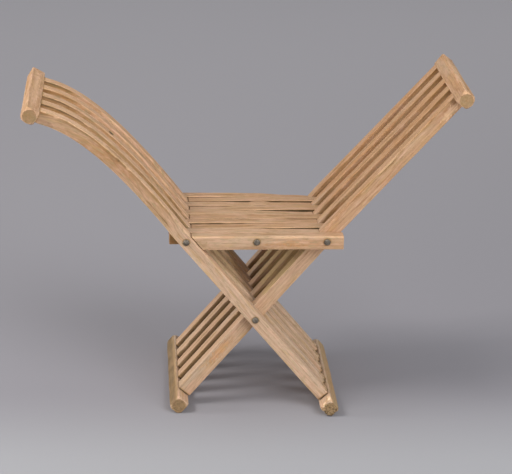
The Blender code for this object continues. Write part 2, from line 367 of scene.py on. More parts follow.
def wear_at(plan, station, vertex, crack, world, along):
    """Where a vertex goes after its spots, and how rubbed, soiled and handled it is, with painted light added
    to the rubbing and painted shade to the soil.
    """
    point, out, corner, face, share = vertex
    edge = 1.0 if corner else 0.85 if share in (0.0, 1.0) else 0.0
    rub_and_light = plan.worn * edge * (0.55 + 0.45 * drift(station.reach * 14, plan.seed * 5.7, face))
    rub_and_light *= 0.35 + 0.65 * smooth(world.z, *RUBBED_FROM)
    uneven = 0.12 if plan.floor else 0.3
    patchy = 0.85 + uneven * drift(station.reach * 40, point.x * 90, point.y * 90 + plan.seed)
    height = point.x / station.half_across * (1 if station.across.z > 0 else -1)
    top = height > 0.95
    hidden = face % 2 == 0 and corner == 0.0
    # a hidden side is darkened with painted shade, and with floor dirt on a foot rail; below 0 it gets
    # painted light
    side_dirt_and_shade = hidden_dirt_and_shade(station, face, height, world.z) if hidden else 0.0
    dark = max(crack, station.soil, side_dirt_and_shade * patchy)
    rub_and_light = max(rub_and_light, -side_dirt_and_shade * patchy)
    # painted yellow light lifts the wood in the seat's shade
    if side_dirt_and_shade > 0.0 or top:
        dark -= plan.seat_shade_light * smooth(world.z, *SHADE_FROM) * (1 - smooth(world.z, *SHADE_TO)) * patchy
    # painted light on a stave's top below the seat
    if top:
        rub_and_light = max(rub_and_light, station.top_light * patchy)
    finish_left = station.kept[face // 2] if hidden else 0.4 * max(station.kept)
    handled = smooth(world.z, *HANDLED_FROM) + finish_left
    for spot in plan.spots:
        strength = spot.strength(world, along)
        if strength > 0.0:
            world = world - (station.across * out.x + station.through * out.y) * spot.depth * strength
            dark = max(dark, strength * spot.dark)
            rub_and_light = max(rub_and_light, strength * spot.fresh)
            if spot.warm:
                handled = max(handled, handled + (1 + spot.warm - handled) * strength)
    for stain in plan.stains:
        away = math.hypot(world.x - stain.x, world.z - stain.y)
        dark = max(dark, STAIN_DARK * (1 - smooth(away, STAIN_RADIUS, STAIN_RADIUS * 1.7)))
    # floor dirt and painted contact shade fade upwards from the floor
    if plan.floor:
        world.z = max(world.z, 0.0)
        dark = max(dark, FLOOR_DIRT_AND_SHADE * (1 - smooth(world.z, *FLOOR_DARK_HEIGHTS)) * patchy)
    return world, Vector((rub_and_light, dark, handled))


print("an arm is handled wood above", HANDLED_FROM[1], "m")

# %% [markdown]
# ## From rings to a mesh
#
# The rings are joined by quads. Each end gets a few smaller rings inside the last one, so that end grain
# has vertices of its own, torn a little by noise. The notes are stored as mesh attributes, which a
# material can read by name: unlike texture coordinates made from the object's box, they stay with the wood
# in every pose.

# %% Join rings and close ends
CAP_RINGS = ((0.93, 0.40, 0.0), (0.86, 0.45, 0.0), (0.62, 0.45, 0.0), (0.34, 0.45, 0.0))
DISC_RINGS = ((0.97, 0.30, 0.3), (0.93, 0.55, 1.0), (0.86, 0.64, 1.0), (0.60, 0.60, 1.0), (0.30, 0.62, 1.0))


def link(name, data):
    """Put a new object into the scene."""
    made = bpy.data.objects.new(name, data)
    bpy.context.scene.collection.objects.link(made)
    return made


def to_object(name, shape, sharp):
    """Turn a shape into an object, smooth except at edges sharper than an angle in degrees."""
    bmesh.ops.recalc_face_normals(shape, faces=shape.faces)
    mesh = bpy.data.meshes.new(name)
    shape.to_mesh(mesh)
    shape.free()
    mesh.shade_smooth()
    mesh.set_sharp_from_angle(angle=math.radians(sharp))
    return link(name, mesh)


class Shell:
    """A shape in the making, with the notes of its vertices."""

    def __init__(self):
        self.shape = bmesh.new()
        self.notes = {"grain": [], "wear_and_shade": []}

    def add(self, point, grain, wear_and_shade):
        self.notes["grain"].append(grain)
        self.notes["wear_and_shade"].append(wear_and_shade)
        return self.shape.verts.new(point)

    def bridge(self, ring, after):
        for index in range(len(ring)):
            following = (index + 1) % len(ring)
            self.shape.faces.new((ring[index], ring[following], after[following], after[index]))

    def close(self, plan, ring, outer, body):
        """Close an end with smaller rings, each (size, soil, how round). body is the middle of the piece."""
        caps = CAP_RINGS
        if plan.discs:
            caps = [(size, soil * plan.discs, roundness) for size, soil, roundness in DISC_RINGS]
        contrast = 1.6 if plan.rough > 0.001 else 0.6
        middle = sum((point for point, _, _ in ring), Vector()) / len(ring)
        grain_middle = sum((grain for _, grain, _ in ring), Vector()) / len(ring)
        handled = ring[0][2].z
        least = min((point - middle).length for point, _, _ in ring)
        inward = (body - middle).normalized()
        for share, soil, roundness in caps:
            inner = []
            for point, grain, wear_and_shade in ring:
                round_point = middle + (point - middle).normalized() * least * share
                place = middle.lerp(point, share).lerp(round_point, roundness)
                torn = 0.5 + 0.5 * noise.noise(place * 330)
                damp = soil * (1 + contrast * (torn - 0.5))
                if roundness:
                    damp = max(damp, wear_and_shade.y * share ** 5)
                note = Vector((0.0, damp, handled * (1 - 0.7 * roundness)))
                sunk = place + inward * plan.rough * torn
                inner.append(self.add(sunk, grain_middle.lerp(grain, share), note))
            self.bridge(outer, inner)
            outer = inner
        centre = self.add(middle, grain_middle, Vector((0.0, caps[-1][1], handled)))
        for index in range(len(outer)):
            self.shape.faces.new((outer[index], outer[(index + 1) % len(outer)], centre))


print("rings in an end", len(CAP_RINGS), "or, where it is pared round,", len(DISC_RINGS))

# %% [markdown]
# ## A worn piece from its plan
#
# A stave, a slat and a rail differ only in their plans, so one function lofts them all. Each could have
# been modelled by itself, but then a change to the wear would have to be made 24 times. When a piece is
# made, it takes the place of its CAD node and rides on the same body.

# %% Loft a wooden piece
SHARP_WOOD = 32             # edges at more than this angle, in degrees, stay sharp
PIECES = {}


def worn_ring(plan, number):
    """The vertices of one station, each as its place, its grain and its wear."""
    stations = plan.stations
    station = stations[number]
    before = stations[max(0, number - 1)].middle
    after = stations[min(len(stations) - 1, number + 1)].middle
    along = (after - before).normalized()
    bend = plan.bow(station.reach) if plan.bow else 0.0
    points = section(station)
    ring = []
    for vertex, crack in zip(points, open_cracks(points, plan.cracks, station, plan.seed)):
        point, out = vertex[:2]
        slow = drift(station.reach * 6, point.x * 45 + plan.seed * 7.3, point.y * 45)
        small = drift(station.reach * 55, point.x * 210 + plan.seed * 3.1, point.y * 210)
        place = point + out * (plan.wave * slow + RIPPLE * small)
        world = station.middle + station.across * place.x + station.through * place.y
        world, wear_and_shade = wear_at(plan, station, vertex, crack, world, along)
        run = station.reach + plan.seed * 1.37
        ring.append((world, Vector((run, point.x + plan.pith[0] + bend, point.y + plan.pith[1])), wear_and_shade))
    return ring


def loft(plan):
    """A wooden piece: worn rings at its stations, joined and capped, with its notes for the material."""
    rings = [worn_ring(plan, number) for number in range(len(plan.stations))]
    shell = Shell()
    made = [[shell.add(*vertex) for vertex in ring] for ring in rings]
    for ring, after in zip(made, made[1:]):
        shell.bridge(ring, after)
    halfway = rings[len(rings) // 2]
    body = sum((point for point, _, _ in halfway), Vector()) / len(halfway)
    for end in (0, -1):
        shell.close(plan, rings[end], made[end], body)
    piece = to_object(plan.name, shell.shape, SHARP_WOOD)
    for label, values in shell.notes.items():
        attribute = piece.data.attributes.new(label, "FLOAT_VECTOR", "POINT")
        attribute.data.foreach_set("vector", [number for value in values for number in value])
    return piece


def place_piece(piece, node, slot):
    """Let a piece stand for a CAD node, ride on its body and take its slot."""
    body = frame["nodes"][node]["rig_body"]
    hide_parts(node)
    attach(piece, body)
    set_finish(piece, slot)
    PIECES[piece.name] = piece
    print(piece.name, len(piece.data.vertices), "vertices")


print("a loft is ready, sharp at more than", SHARP_WOOD, "degrees")

# %% [markdown]
# ## From a line to a stave
#
# Both sets of staves are cut in the same way: a line with a width is sampled, and a tenon is added at each
# end. The foot shoulders stand off the rail by a couple of millimetres, because the tenons have dried and
# crept out of their mortises. Edges could have one rounding all along, but on old staves some places are
# chipped, so the rounding wanders.

# %% Stations of a stave
TENON_HALF = 0.0085
TENON_LENGTH = 0.020
TENON_DEPTH = 0.6           # its share of the stave's thickness
CREST_TENON = 0.014         # how much of it stands in a crest rail
FOOT_GAP = 0.0026
LAP = 0.0005                # how far a stave reaches into its crest rail
TENON_DIRT = 0.9
SHOULDER_DIRT = 0.75
SQUARE = (0.0008,) * 4
LARGEST_ROUND = 0.006
DEEP = Vector((0, 1, 0))    # from front to back


def dirt_and_shade_of_side(reach, seat, length, soil, open_side):
    """How dark a side of a stave is made: a hidden side gets painted shade, more where a neighbour, the crest
    or the seat hides it, and painted light where its value is below 0; an open side gets dirt.

    soil is for the arm at the crest, the arm at the seat, and the leg. open_side is 0 for a hidden side."""
    if open_side:
        return open_side * smooth(reach, seat, seat + 0.15)
    if reach <= seat:
        return soil[2] * (1 - 0.85 * smooth(reach, seat - 0.25, seat - 0.08))
    arm = soil[1] + (soil[0] - soil[1]) * smooth(reach, seat + 0.25, seat + 0.42)
    crest = 1 - smooth(length - reach, 0.015, 0.14)
    corner = max(0.0, 1 - abs(reach - seat - 0.03) / 0.06)
    return arm + 0.35 * crest + 0.40 * corner


def stave_stations(line, node, seed, edge_rounds, soil, open_sides, finish_left, top_light):
    """Stations of a stave with a tenon at each end, in the layer of its CAD node."""
    y, half_through = layer(node)
    samples = resample(line, STATION_STEP)
    seat = (line[1][0] - line[0][0]).length
    length = samples[-1][2]

    def station(point, way, width, reach, rounding, depth=1.0, dirt=0.0):
        across = flat_to_world(turned(way, 90))
        thin = 0.0004 + 0.0004 * drift(reach * 5, seed, 9)
        middle = flat_to_world(point, y + 0.0004 * drift(reach * 3, seed, 4))
        rounds = []
        for corner in range(4):
            ease = 1 + 0.6 * drift(reach * 30, seed * 2.2, corner * 3.3)
            chip = 1.6 * smooth(drift(reach * 40, seed * 4.1, corner * 7.7), 0.42, 0.6)
            rounds.append(min(rounding[corner] * (ease + chip), LARGEST_ROUND))
        # painted shade on the hidden sides, dirt on the open ones
        sides = [dirt_and_shade_of_side(reach, seat, length, soil, side) for side in open_sides]
        kept = [0.0 if side else finish_left * smooth(reach, seat, seat + 0.08) for side in open_sides]
        # painted light on the top below the seat
        top = top_light * smooth(reach, seat - 0.32, seat - 0.06)
        return Station(reach, middle, across, DEEP, width / 2, (half_through - thin) * depth, rounds,
                       soil=dirt, sides=sides, kept=kept, top_light=top)

    foot, foot_width, _, foot_way = samples[0]
    crest, _, _, crest_way = samples[-1]
    tenon = 2 * TENON_HALF
    stations = []
    for back in (TENON_LENGTH, 0.0):
        end = foot - foot_way * back
        stations.append(station(end, foot_way, tenon, -back, SQUARE, TENON_DEPTH, TENON_DIRT))
    stations.append(station(foot, foot_way, foot_width - 0.001, 0.0, SQUARE, 0.97, SHOULDER_DIRT))
    for point, width, reach, way in samples[1:]:
        wide = width + 0.0006 * drift(reach * 8, seed * 1.9, 2)
        joint = 1 - smooth(length - reach, 0.0, 0.006)
        stations.append(station(point, way, wide, reach, edge_rounds, dirt=1.6 * soil[0] * joint))
    for far in (0.0, CREST_TENON):
        end = crest + crest_way * far
        stations.append(station(end, crest_way, tenon, length + far, SQUARE, TENON_DEPTH))
    return stations


print("a tenon is", round(2000 * TENON_HALF), "mm wide")

# %% [markdown]
# ## The arched staves
#
# Five staves run from the right foot up through the cross rod, past the left seat rod, and arch over to the
# left crest. A curve object with a bevel profile could draw them, but the shoulders and tenons at the ends
# need a section that steps, so a Bezier line, close to the one that shapes the CAD solid, is sampled and
# lofted. The hidden sides of the two back arms get so much painted light near the seat that they almost
# look like one board.

# %% Arched staves
ARCHED_WIDTHS = (0.030, 0.0315, 0.0300)
ARCHED_SHADE_AND_DIRT = {             # painted shade on the hidden sides, painted light below 0, and from the first the crest joint's dirt: the arm at the crest, the arm at the seat, and the leg
    1: (0.36, 0.36, 0.22),
    2: (0.48, 0.46, 0.22),
    3: (0.40, 0.20, 0.22),
    4: (0.28, -0.7, 0.22),
    5: (0.28, -0.7, 0.22),
}
ARCHED_OPEN_SOIL = 0.36     # on the open side of the front stave's arm
ARCH_STEPS = 48
ARCH_LENGTH = 0.44
SAWN_BOW = 0.02             # how far the arch runs out of the plank that it was sawn from
ARCH_CRACKS = {
    1: [Crack(0, 0.56, 0.66, 0.72, 0.0008)],
    2: [Crack(3, 0.55, 0.68, 0.35), Crack(3, 0.16, 0.22, 0.6)],
    3: [Crack(3, 0.50, 0.60, 0.6), Crack(3, 0.80, 0.90, 0.4)],
    4: [Crack(3, 0.62, 0.80, 0.45), Crack(3, 0.12, 0.20, 0.4)],
    5: [Crack(3, 0.48, 0.62, 0.3), Crack(2, 0.40, 0.62, 0.5), Crack(2, 0.70, 0.88, 0.3)],
}
ARCH_SPOTS = {              # a bruise on the front stave and a knot hole in the third
    1: [Spot((-0.3060, -0.150, 0.6375), 0.050, 0.010, 0.0008, dark=0.42, ragged=1.0),
        Spot((-0.2985, -0.170, 0.6270), 0.010, 0.004, 0.0010, dark=0.85, ragged=0.6)],
    3: [Spot((-0.3167, -0.0120, 0.6475), 0.009, 0.0110, 0.0012, dark=1.3, ragged=0.4)],
}


def arched_line():
    """(point, width) pairs from the foot shoulder to the crest shoulder."""
    foot = CROSS - ARCHED_LEG * (LEG_REACH - FOOT_HALF[0] - FOOT_GAP)
    start = LEFT + ARCHED_LEG * ARM_START
    start_way = turned(Vector((-1, 0)), -ARCH_ANGLES[0])
    end_way = turned(Vector((-1, 0)), -ARCH_ANGLES[1])
    end = CROSS + Vector((-ARCH_REACH, ARCH_RISE)) - end_way * (CREST_HALF[0] - LAP)
    handles = [start, start + start_way * ARCH_PULLS[0], end - end_way * ARCH_PULLS[1], end]
    arch = interpolate_bezier(*[point.to_3d() for point in handles], ARCH_STEPS + 1)
    line = [(foot, ARCHED_WIDTHS[0]), (LEFT, ARCHED_WIDTHS[1])]
    for step, point in enumerate(arch):
        share = step / ARCH_STEPS
        line.append((point.to_2d(), ARCHED_WIDTHS[1] + (ARCHED_WIDTHS[2] - ARCHED_WIDTHS[1]) * share))
    return line


def rotten_foot(y):
    """Pits in the top of a stave where it meets the right foot rail."""
    return [Spot((0.1985, y - 0.010, 0.0490), 0.009, 0.006, 0.004, dark=0.9, ragged=1.1),
            Spot((0.1920, y + 0.006, 0.0560), 0.013, 0.009, 0.002, dark=0.5, ragged=1.2)]


def sawn(reach):
    """How far an arched stave bows out of a straight plank, so that the grain runs out at its edges."""
    start = (LEFT - ARCHED_LINE[0][0]).length + ARM_START
    share = max(0.0, min(1.0, (reach - start) / ARCH_LENGTH))
    return SAWN_BOW * math.sin(math.pi * share)


ARCHED_LINE = arched_line()
for number in STAVES:
    node = f"arched_stave_{number}"
    seed = 10.0 + number
    front = number == 1
    rounds = (0.0012, 0.0012, 0.0012, 0.0020 if front else 0.0013)
    open_sides = (ARCHED_OPEN_SOIL if front else 0.0, 0.0)
    # the side values give painted shade, and the top value painted light below the seat
    stations = stave_stations(ARCHED_LINE, node, seed, rounds, ARCHED_SHADE_AND_DIRT[number], open_sides,
                              finish_left=0.4, top_light=1.1 if front else 0.65)
    # the seat's shade on this wood is lifted with painted yellow light
    plan = Plan("worn_" + node, stations, seed, cracks=ARCH_CRACKS[number],
                spots=ARCH_SPOTS.get(number, []) + rotten_foot(layer(node)[0]),
                stains=(CROSS, LEFT) if front else (), bow=sawn, seat_shade_light=0.42,
                pith=(0.02 * (-1) ** number, 0.045 + 0.004 * number))
    place_piece(loft(plan), node, "arched_wood")

# %% [markdown]
# ## The straight staves
#
# The other five staves are almost straight: they lean out a little more above the seat than below it. They
# could share one mesh, but no two old staves are alike, so each is lofted with its own seed and cracks.
# Between neighbours their legs get much more painted shade than those of the other set, and their arms
# little.

# %% Straight staves
STRAIGHT_WIDTHS = (0.034, 0.035, 0.031)
STRAIGHT_ROUNDS = (0.0016, 0.0013, 0.0012, 0.0012)
# painted shade on the hidden sides, and from the first the crest joint's dirt: the arm at the crest, the arm
# at the seat, and the leg
STRAIGHT_SHADE_AND_DIRT = (0.06, 0.06, 0.66)
STRAIGHT_OPEN_SOIL = 0.22   # on the open sides of the outer two staves' arms
ARM_WAY = turned(STRAIGHT_LEG, -ARM_BEND)
STRAIGHT_BEND = RIGHT + STRAIGHT_LEG * ARM_START
STRAIGHT_CREST = STRAIGHT_BEND + ARM_WAY * (ARM_REACH - ARM_START)
STRAIGHT_LINE = (
    (CROSS - STRAIGHT_LEG * (LEG_REACH - FOOT_HALF[0] - FOOT_GAP), STRAIGHT_WIDTHS[0]),
    (RIGHT, STRAIGHT_WIDTHS[1]),
    (STRAIGHT_BEND, STRAIGHT_WIDTHS[1]),
    (STRAIGHT_CREST - ARM_WAY * (CREST_HALF[0] - LAP), STRAIGHT_WIDTHS[2]),
)
STRAIGHT_CRACKS = {
    1: [Crack(0, 0.70, 0.77, 0.88, 0.0008)],
    2: [Crack(1, 0.56, 0.68, 0.5), Crack(1, 0.08, 0.15, 0.5)],
    3: [Crack(1, 0.64, 0.80, 0.35), Crack(1, 0.04, 0.12, 0.3)],
    4: [Crack(1, 0.60, 0.74, 0.6), Crack(1, 0.10, 0.18, 0.5)],
    5: [Crack(1, 0.58, 0.66, 0.5), Crack(2, 0.55, 0.80, 0.4), Crack(2, 0.06, 0.2, 0.6)],
}
CREST_SHADOW_PLACE = STRAIGHT_CREST - ARM_WAY * 0.045 + turned(ARM_WAY, -90) * 0.005
STRAIGHT_SPOTS = {          # a scar, painted light where the crest's shadow falls, and an orange place in front, and a dark mark behind
    1: [Spot((0.344, -0.136, 0.6328), 0.032, 0.0022, 0.0007, dark=0.7, ragged=0.5),
        Spot(flat_to_world(CREST_SHADOW_PLACE, -0.136), 0.045, 0.013, fresh=0.9, ragged=0.8),
        Spot((-0.058, -0.136, 0.142), 0.055, 0.012, warm=0.9, ragged=0.8)],
    5: [Spot((0.1960, 0.136, 0.5130), 0.030, 0.010, 0.0010, dark=1.0, ragged=1.0)],
}
for number in STAVES:
    node = f"straight_stave_{number}"
    seed = 20.0 + number
    open_sides = (STRAIGHT_OPEN_SOIL * (number == 1), STRAIGHT_OPEN_SOIL * (number == 5))
    # the side values give painted shade, and the top value painted light below the seat
    stations = stave_stations(STRAIGHT_LINE, node, seed, STRAIGHT_ROUNDS, STRAIGHT_SHADE_AND_DIRT, open_sides,
                              finish_left=0.8, top_light=0.25)
    # the seat's shade on this wood is lifted with painted yellow light
    plan = Plan("worn_" + node, stations, seed, cracks=STRAIGHT_CRACKS[number],
                spots=STRAIGHT_SPOTS.get(number, ()), stains=(RIGHT, CROSS) if number == 5 else (),
                worn=0.6, seat_shade_light=0.9, pith=(0.03 * (-1) ** number, -0.05 + 0.006 * number))
    place_piece(loft(plan), node, "straight_wood")

# %% [markdown]
# ## The seat slats
#
# Ten slats fill the seat, one in each layer. One end of a slat is free, and the other is bevelled and stops
# on a stave. Years of sitting have worn most slats down towards their stopped ends, so each top dips by its
# own amount, and the side of the next slat, darkened with painted shade, shows above it. The bevel could be
# cut with a boolean, but a shear of the last rings keeps the loft simple.

# %% Stations of a slat
SLAT_TOP = 0.0140           # above the rods
SLAT_BOTTOM = 0.0165        # below them
FRONT_DEPTH = 0.0022        # how much deeper the front slat is
SLAT_OVERHANG = 0.039
SLAT_ROUND = 0.0013
FRONT_ROUND = 0.0042        # the worn front edge of the seat
SLAT_GAP_SHADE = 3.0             # painted shade on the sides in the gaps between slats
STOP_GAP = 0.0006
END_STEPS = (0.0, 0.0005, 0.0014)  # stations where an end is eased
DIP_UNIT = 0.00125
SLAT_DIPS = {               # how far a top is worn down, in dip units, at shares of the seat's width
    "right_seat_slat_1": ((0.0, 0.3), (1.0, 0.0)),
    "right_seat_slat_2": ((0.0, 2.2), (0.35, 2.0), (0.5, 0.6), (1.0, 0.2)),
    "right_seat_slat_3": ((0.0, 0.5), (0.3, 0.2), (1.0, 0.1)),
    "right_seat_slat_4": ((0.0, 2.9), (0.3, 2.5), (0.45, 0.6), (1.0, 0.0)),
    "right_seat_slat_5": ((0.0, 1.3), (0.25, 1.1), (0.4, 0.3), (1.0, 0.0)),
    "left_seat_slat_1": ((0.0, 0.4), (0.5, 0.8), (0.6, 1.6), (1.0, 3.0)),
    "left_seat_slat_2": ((0.0, 0.1), (0.7, 0.3), (0.78, 1.4), (0.9, 1.2), (1.0, 0.5)),
    "left_seat_slat_3": ((0.0, 0.2), (0.5, 0.8), (0.62, 2.4), (0.9, 4.6), (1.0, 4.8)),
    "left_seat_slat_4": ((0.0, 1.9), (0.3, 1.9), (0.47, 2.6), (0.53, 0.2), (0.6, 0.2), (0.66, 2.6),
                         (1.0, 3.2)),
    "left_seat_slat_5": ((0.0, 0.0), (0.3, 0.2), (0.55, 1.2), (0.8, 5.0), (1.0, 7.5)),
}


def dipped(node, x):
    """How far a slat's top is worn down at x, in metres."""
    share = (x - LEFT.x) / (RIGHT.x - LEFT.x)
    points = SLAT_DIPS[node]
    depth = points[0][1] if share < points[0][0] else points[-1][1]
    for (start, low), (end, high) in zip(points, points[1:]):
        if start <= share <= end:
            depth = low + (high - low) * smooth(share, start, end)
    return depth * DIP_UNIT


def slat_stations(node, seed, free_rod, stop_rod, leg, stave_width):
    """Stations of a slat from left to right, bevelled where it stops on a stave."""
    y, half_through = layer(node)
    front = node == "right_seat_slat_1"
    outward = 1.0 if free_rod.x > stop_rod.x else -1.0
    free_end = free_rod.x + outward * SLAT_OVERHANG
    stop = stop_rod + Vector((abs(leg.y) * outward, abs(leg.x))) * (stave_width / 2 + STOP_GAP)
    run = leg.x / leg.y
    middle_height = MIDDLE.y + (SLAT_TOP - SLAT_BOTTOM) / 2
    stop_end = stop.x + (middle_height - stop.y) * run
    length = abs(free_end - stop_end)
    count = round(length / STATION_STEP)
    reaches = [length * step / count for step in range(1, count)]
    for step in END_STEPS:
        reaches += [step, length - step]
    stations = []
    for reach in sorted(reaches):
        x = stop_end + outward * reach
        near = 1 - smooth(reach, 0.0, 0.05)
        top = SLAT_TOP - dipped(node, x) + 0.0003 * drift(x * 9, seed, 1)
        bottom = SLAT_BOTTOM + 0.0006 * drift(x * 7, seed, 2) + FRONT_DEPTH * front
        thin = 0.0005 + 0.0016 * max(0.0, drift(x * 7, seed * 1.7, 3) + 0.25)
        ease = 0.8 * max(0.0, END_STEPS[-1] - min(reach, length - reach))
        rounds = []
        for corner in range(4):
            base = FRONT_ROUND if front and corner == 0 else SLAT_ROUND
            rounds.append(max(0.0008, base * (1 + 0.6 * drift(x * 17, seed * 2.9, corner * 2.1))))
        height = MIDDLE.y + (top - bottom) / 2
        middle = Vector((x + (height - middle_height) * run * near, y, height))
        # painted shade on the sides that a neighbour slat hides, weaker where the first left slat shows past
        # the front stave
        sides = [0.0 if front else SLAT_GAP_SHADE, 0.0 if node == "left_seat_slat_5" else SLAT_GAP_SHADE]
        if node == "left_seat_slat_1" and x < LEFT.x:
            sides[0] = 0.4
        stations.append(Station(x, middle, Vector((run * near, 0, 1)), DEEP, (top + bottom) / 2 - ease,
                                half_through - thin - ease, rounds, sides=sides))
    if outward < 0:
        stations.reverse()
    return stations


print("deepest dip", max(depth for points in SLAT_DIPS.values() for _, depth in points) * DIP_UNIT, "m")

# %% [markdown]
# ## Two sets of slats
#
# On the chair the slats of the two halves lie between one another like fingers, and each half hangs on its
# own rod. One half could be mirrored to make the other, but then both would have the same grain, so each
# slat is lofted with a seed of its own. Only the front slat has a wide worn edge and iron stains.

# %% Seat slats
SEAT_SETS = (               # kind, rod at the free end, rod and leg at the stop, stave's width, first seed
    ("right_seat_slat", RIGHT, LEFT, ARCHED_LEG, 0.0335, 30.0),
    ("left_seat_slat", LEFT, RIGHT, STRAIGHT_LEG, 0.0350, 40.0),
)
SLAT_CRACKS = {
    "right_seat_slat_1": [Crack(1, 0.02, 0.14, 0.45)],
    "right_seat_slat_2": [Crack(1, -0.12, 0.03, 0.5)],
    "right_seat_slat_3": [Crack(1, 0.05, 0.17, 0.6)],
    "right_seat_slat_4": [Crack(1, -0.06, 0.09, 0.4)],
    "left_seat_slat_2": [Crack(1, -0.10, 0.04, 0.6)],
    "left_seat_slat_3": [Crack(1, -0.02, 0.12, 0.5)],
    "left_seat_slat_5": [Crack(1, -0.12, 0.02, 0.5), Crack(2, -0.05, 0.12, 0.5)],
}
SLAT_SPOTS = {
    "left_seat_slat_1": [Spot((-0.170, -0.136, 0.428), 0.030, 0.030, dark=0.3, warm=1.0)],
    "left_seat_slat_2": [Spot((0.1747, -0.0402, 0.4415), 0.0028, 0.0028, 0.003, dark=1.0)],
    "right_seat_slat_1": [Spot((0.120, -0.170, 0.426), 0.100, 0.014, warm=0.5, ragged=0.9),
                          Spot((-0.110, -0.170, 0.422), 0.030, 0.013, dark=0.24, ragged=0.9)],
}
for kind, free_rod, stop_rod, leg, stave_width, first_seed in SEAT_SETS:
    for number in STAVES:
        node = f"{kind}_{number}"
        seed = first_seed + number
        stations = slat_stations(node, seed, free_rod, stop_rod, leg, stave_width)
        front = node == "right_seat_slat_1"
        plan = Plan("worn_" + node, stations, seed, cracks=SLAT_CRACKS.get(node, ()), wave=0.0003,
                    spots=SLAT_SPOTS.get(node, ()), stains=(MIDDLE, RIGHT) if front else (),
                    pith=(-0.05 + 0.004 * number, 0.02 * (-1) ** number))
        place_piece(loft(plan), node, "seat_wood")

# %% [markdown]
# ## The crest and foot rails
#
# The rails tie the staves together. Their section is a square with small chamfers, and towards each end it
# is pared rounder. A bevel modifier can't grow along an edge like that, so the rounding of each ring grows
# instead. The feet are worn flat where they stand, and darkened with floor dirt and painted shade.

# %% Stations of a rail
RAIL_ENDS = {               # front and back: length of the paring, its rounding, and how far the end is cut
    "crest": ((0.010, 0.0165, 0.0003), (0.004, 0.0035, 0.0006)),
    "foot": ((0.007, 0.0095, 0.0016), (0.012, 0.0110, 0.0010)),
}
CHAMFER = 0.003
RAIL_STEPS = (0.0, 0.0004, 0.0010, 0.0020, CHAMFER)  # stations where an end is cut down


def rail_stations(node, middle, way, halves, span, body_rounds, soil, seed):
    """Stations of a rail from front to back: square in the middle, pared at its ends."""
    low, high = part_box(node)
    front, back = low.y + span[0], high.y + span[1]
    length = back - front
    ends = RAIL_ENDS["foot" if "foot" in node else "crest"]
    across = flat_to_world(way)
    through = flat_to_world(turned(way, 90))
    count = round(length / STATION_STEP)
    reaches = [length * step / count for step in range(1, count)]
    for step in RAIL_STEPS:
        reaches += [step, length - step]
    stations = []
    for reach in sorted(reaches):
        near = min(reach, length - reach)
        pare_length, pare_round, cut = ends[0] if reach < length / 2 else ends[1]
        pared = max(0.0, 1 - near / pare_length)
        ease = cut * max(0.0, 1 - near / CHAMFER)
        rounds = []
        for corner in range(4):
            body = body_rounds[corner] * (1 + 0.4 * drift(reach * 16, seed * 1.3, corner * 5.1))
            rounds.append(body + (pare_round - body) * pared)
        sizes = []
        for axis, half in enumerate(halves):
            sizes.append(half + 0.0004 * drift(reach * 9, seed, axis * 4.4) - ease)
        place = flat_to_world(middle, front + reach)
        facets = 1 - 0.8 * pared
        # the soil darkens the first and third faces: floor dirt with painted shade on the feet, none on the
        # crests
        stations.append(Station(reach, place, across, through, *sizes, rounds, facets, sides=(soil, soil)))
    return stations


print("kinds of rail end", list(RAIL_ENDS))

# %% [markdown]
# ## Four rails
#
# Each rail has its own turn, length and damage. The front end of the right foot is rotten. The rot could be
# a displacement texture over the whole end, but rot eats where water stands, so it is a row of pits along
# the joint with the staves and a ring of chips round the rim.

# %% Rails
ARCHED_CREST = CROSS + Vector((-ARCH_REACH - 0.0015, ARCH_RISE))
ARCHED_FOOT = CROSS - ARCHED_LEG * LEG_REACH
STRAIGHT_FOOT = CROSS - STRAIGHT_LEG * LEG_REACH
RAILS = (                   # node, middle, way, half sizes, longer at front and back, roundings, soil of floor dirt and painted shade, seed
    ("arched_crest_rail", ARCHED_CREST, turned(Vector((-1, 0)), -29.0), CREST_HALF, (-0.016, -0.006),
     (0.0022, 0.0060, 0.0030, 0.0022), 0.0, 51.0),
    ("straight_crest_rail", STRAIGHT_CREST, turned(ARM_WAY, 4.0), CREST_HALF, (0.0, -0.002),
     (0.0060, 0.0026, 0.0022, 0.0030), 0.0, 52.0),
    # the feet's soil is floor dirt with painted shade, most on the straight foot
    ("arched_foot_rail", ARCHED_FOOT, -ARCHED_LEG, FOOT_HALF, (0.0, 0.013),
     (0.0070, 0.0060, 0.0026, 0.0022), 0.36, 53.0),
    ("straight_foot_rail", STRAIGHT_FOOT, -STRAIGHT_LEG, FOOT_HALF, (-0.006, 0.012),
     (0.0060, 0.0070, 0.0022, 0.0026), 0.62, 54.0),
)
RAIL_CRACKS = {
    "arched_crest_rail": [Crack(3, 0.05, 0.2, 0.4), Crack(1, 0.15, 0.3, 0.6)],
    "straight_crest_rail": [Crack(1, 0.03, 0.17, 0.5), Crack(0, 0.12, 0.3, 0.4)],
    "arched_foot_rail": [Crack(1, 0.05, 0.25, 0.5, 0.003), Crack(0, 0.1, 0.3, 0.6)],
    "straight_foot_rail": [Crack(2, 0.04, 0.2, 0.5), Crack(1, 0.2, 0.34, 0.4)],
}
OUTER_CORNER = STRAIGHT_CREST + ARM_WAY * 0.0160 + turned(ARM_WAY, 90) * 0.009
